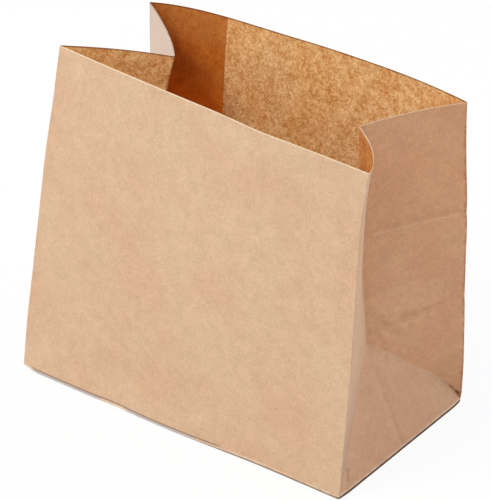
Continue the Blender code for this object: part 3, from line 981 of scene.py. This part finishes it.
def inner_paper(name, look, groups):
    """The inside of the sheet, or of its lap: painted shade on the crescent, along the rim and where it folds, painted
    light and shade further down the lap, and a painted highlight on the crescent's rim.
    """
    material, tree, place, fibres, colour = paper_base(name, look, groups)
    crescent = place_group(tree, groups["wall"], place, Middle=FOLD_RIGHT_MIDDLE, Towards=-1.0)["Half"]
    # Painted shade on the crescent
    colour = tinted(tree, crescent, colour, CRESCENT_SHADE)
    if name == "lap_paper":
        up = flat_axes(tree, place)[1]
        # Painted light and shade further down the lap
        for heights, tint in LAP_LIGHT_TINTS:
            colour = tinted(tree, smooth_range(tree, up, *heights), colour, tint)
    folds = [((fold, 0.0), (fold, PANEL_HEIGHT), *INNER_FOLD) for fold in FOLDS]
    folded = crease_sum(tree, place, groups, place_group(tree, groups["handling"], place), folds)
    colour = tinted(tree, folded, colour, INNER_FOLD_SHADE)
    rim = place_group(tree, groups["rim"], place, Width=INNER_RIM_WIDTH)["Mask"]
    on_crescent = times(tree, rim, crescent)
    elsewhere = minus(tree, rim, on_crescent)
    colour = tinted(tree, times(tree, elsewhere, INNER_RIM_SHARE), colour, RIM_SHADE)
    # Painted highlight along the crescent's rim
    colour = mix_colour(tree, times(tree, on_crescent, CRESCENT_RIM_HIGHLIGHT), colour, PALE_FIBRE_AND_HIGHLIGHT)
    finish_paper(tree, colour, fibres, fibres["Height"], look)
    return material


def cut_edge(groups):
    """The paper's bare fibres where it is cut."""
    material, tree, _, fibres, colour = paper_base("cut_edge", EDGE_LOOK, groups)
    finish_paper(tree, colour, fibres, fibres["Height"], EDGE_LOOK)
    return material


def build_papers():
    """The papers of the bag: outside, inside, cut edge and lap."""
    groups = dict(formation=build_formation_group(), crease=build_crease_group(), wall=build_wall_group(),
                  rim=build_rim_group(), handling=build_handling_group())
    outside = outside_paper(groups)
    inside = inner_paper("inside_paper", INSIDE_BACKLIT_LOOK, groups)
    lap = inner_paper("lap_paper", LAP_SHADED_LOOK, groups)
    return outside, inside, cut_edge(groups), lap


def build_layer(name, outline, low, high, materials):
    """A flat layer of the glued bottom, with its cut edges."""
    bm = bmesh.new()
    face = bm.faces.new([bm.verts.new((x, y, low)) for x, y in outline])
    raised = bmesh.ops.extrude_face_region(bm, geom=[face])["geom"]
    bmesh.ops.translate(bm, verts=[v for v in raised if isinstance(v, bmesh.types.BMVert)], vec=(0, 0, high - low))
    bmesh.ops.recalc_face_normals(bm, faces=bm.faces)
    flat_paper = bm.loops.layers.uv.new("flat_paper")
    for face in bm.faces:
        face.material_index = 0 if abs(face.normal.z) > 0.5 else 1
        for loop in face.loops:
            loop[flat_paper].uv = bottom_place(loop.vert.co.x, loop.vert.co.y)
    mesh = bpy.data.meshes.new(name)
    bm.to_mesh(mesh)
    bm.free()
    return new_object(name, mesh, materials)


# How far the bottom's layers stay inside the base fold, and the air between two of them
FLAP_INSET = 0.0025
LAYER_GAP = 0.00001


def build_bottom(outside, inside, edge):
    """The two long flaps under the base, the back one lowest, and the gussets' ends flat on the floor."""
    half_width = BAG_WIDTH / 2 - FLAP_INSET
    fold = BAG_DEPTH / 2 - FLAP_INSET
    tip = fold - FLAP_LENGTH
    short = half_width - FLAP_LENGTH
    layers = []
    for name, end, low in (("bag_front_flap", -1, PAPER), ("bag_back_flap", 1, 0.0)):
        outline = [(-half_width, end * (fold - FLAP_INSET)), (-half_width + FLAP_INSET, end * fold),
                   (half_width - FLAP_INSET, end * fold), (half_width, end * (fold - FLAP_INSET)),
                   (short, end * tip), (-short, end * tip)]
        layers.append(build_layer(name, outline, low, FLOOR_Z - LAYER_GAP, (outside, edge)))
    floor_top = FLOOR_Z + PAPER
    for name, side in (("bag_right_end_sheet", 1), ("bag_left_end_sheet", -1)):
        outer, inner = side * half_width, side * (BAG_WIDTH / 2 - FLAP_LENGTH)
        outline = [(inner, -fold), (outer, -fold), (outer, fold), (inner, fold)]
        layers.append(build_layer(name, outline, floor_top + LAYER_GAP, floor_top + PAPER, (inside, edge)))
    return layers


# The floor: its size, its drop below the bag, its own look, and how white the camera sees it
FLOOR_SIZE = 12
FLOOR_BELOW = 0.0002
FLOOR_COLOUR = (0.93, 0.93, 0.93, 1)
FLOOR_ROUGHNESS = 0.9
FLOOR_WHITENESS = 0.92
WHITE = (1, 1, 1, 1)
# The sky's light on the bag
SKY_LEVEL = 0.62


def seen_directly(tree):
    """1 for what the camera sees by itself, in a gloss or through glass, and 0 for the light on the bag."""
    path = add(tree, "LightPath", {})
    mirrored = math_node(tree, "MAXIMUM", path["Is Glossy Ray"], path["Is Transmission Ray"])
    return math_node(tree, "MAXIMUM", path["Is Camera Ray"], mirrored)


def build_stage():
    """A pale floor that the camera sees as white, with the bag's shadow kept."""
    bpy.ops.mesh.primitive_plane_add(size=FLOOR_SIZE, location=(0, 0, -FLOOR_BELOW))
    floor = bpy.context.object
    floor.name = "floor"
    material = bpy.data.materials.new("white_floor")
    material.use_nodes = True
    tree = material.node_tree
    shader = tree.nodes["Principled BSDF"]
    fill(tree, shader, {"Base Color": FLOOR_COLOUR, "Roughness": FLOOR_ROUGHNESS})
    share = times(tree, seen_directly(tree), FLOOR_WHITENESS)
    white = add(tree, "Emission", {"Color": WHITE})[0]
    mixed = add(tree, "MixShader", {0: share, 1: shader.outputs[0], 2: white})[0]
    fill(tree, tree.nodes["Material Output"], {"Surface": mixed})
    floor.data.materials.append(material)


def build_world():
    """A white surround whose light on the bag is plain and soft."""
    world = bpy.data.worlds.new("studio")
    bpy.context.scene.world = world
    world.use_nodes = True
    tree = world.node_tree
    level = math_node(tree, "MAXIMUM", seen_directly(tree), SKY_LEVEL)
    fill(tree, tree.nodes["Background"], {"Color": WHITE, "Strength": level})


# Soft lamps: name, place, power in watts, size, colour
LAMPS = (
    ("key", (-1.0, -2.9, 3.9), 108.0, 1.6, (1.0, 0.985, 0.965)),
    ("back_fill", (1.5, 1.9, 1.2), 14.0, 1.2, (1.0, 0.99, 0.98)),
    ("left_fill", (-2.2, -0.6, 1.0), 9.0, 1.0, (1.0, 0.98, 0.98)),
)
LAMPS_AIM = Vector((0, 0, 0.1))


def build_lamps():
    for name, place, power, size, colour in LAMPS:
        data = bpy.data.lights.new(name, "AREA")
        data.energy = power
        data.size = size
        data.color = colour
        lamp = new_object(name, data)
        lamp.location = place
        aim = LAMPS_AIM - Vector(place)
        lamp.rotation_euler = aim.to_track_quat("-Z", "Y").to_euler()


# The photograph's view: turn, pitch and roll in degrees, place and lens
CAMERA_ANGLES = (34.91, 27.73, 2.13)
CAMERA_PLACE = Vector((0.6823, -0.978, 0.729))
FOCAL_PIXELS = 2051
PICTURE_HEIGHT = 500
SENSOR = 36.0
CLIP_END = 50


def build_camera():
    turn, pitch, roll = map(math.radians, CAMERA_ANGLES)
    back = Vector((math.sin(turn) * math.cos(pitch), -math.cos(turn) * math.cos(pitch), math.sin(pitch)))
    right = Vector((math.cos(turn), math.sin(turn), 0))
    up = back.cross(right)
    tilted_right = right * math.cos(roll) + up * math.sin(roll)
    tilted_up = up * math.cos(roll) - right * math.sin(roll)
    data = bpy.data.cameras.new("photo_view")
    data.sensor_fit = "AUTO"
    data.sensor_width = SENSOR
    data.lens = FOCAL_PIXELS / PICTURE_HEIGHT * SENSOR
    data.clip_end = CLIP_END
    camera = new_object("photo_view", data)
    axes = Matrix((tilted_right, tilted_up, back)).transposed()
    camera.matrix_world = Matrix.Translation(CAMERA_PLACE) @ axes.to_4x4()
    bpy.context.scene.camera = camera


def main():
    bpy.context.scene.view_settings.view_transform = "Standard"
    build_camera()
    build_world()
    build_lamps()
    build_stage()
    outside, inside, edge, lap = build_papers()
    sheet = build_sheet((outside, inside, edge, outside, lap, edge, outside, inside, edge))
    pieces = [sheet] + build_bottom(outside, inside, edge)
    for piece in pieces:
        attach(piece, "root")
    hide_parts("paper_bag")


main()
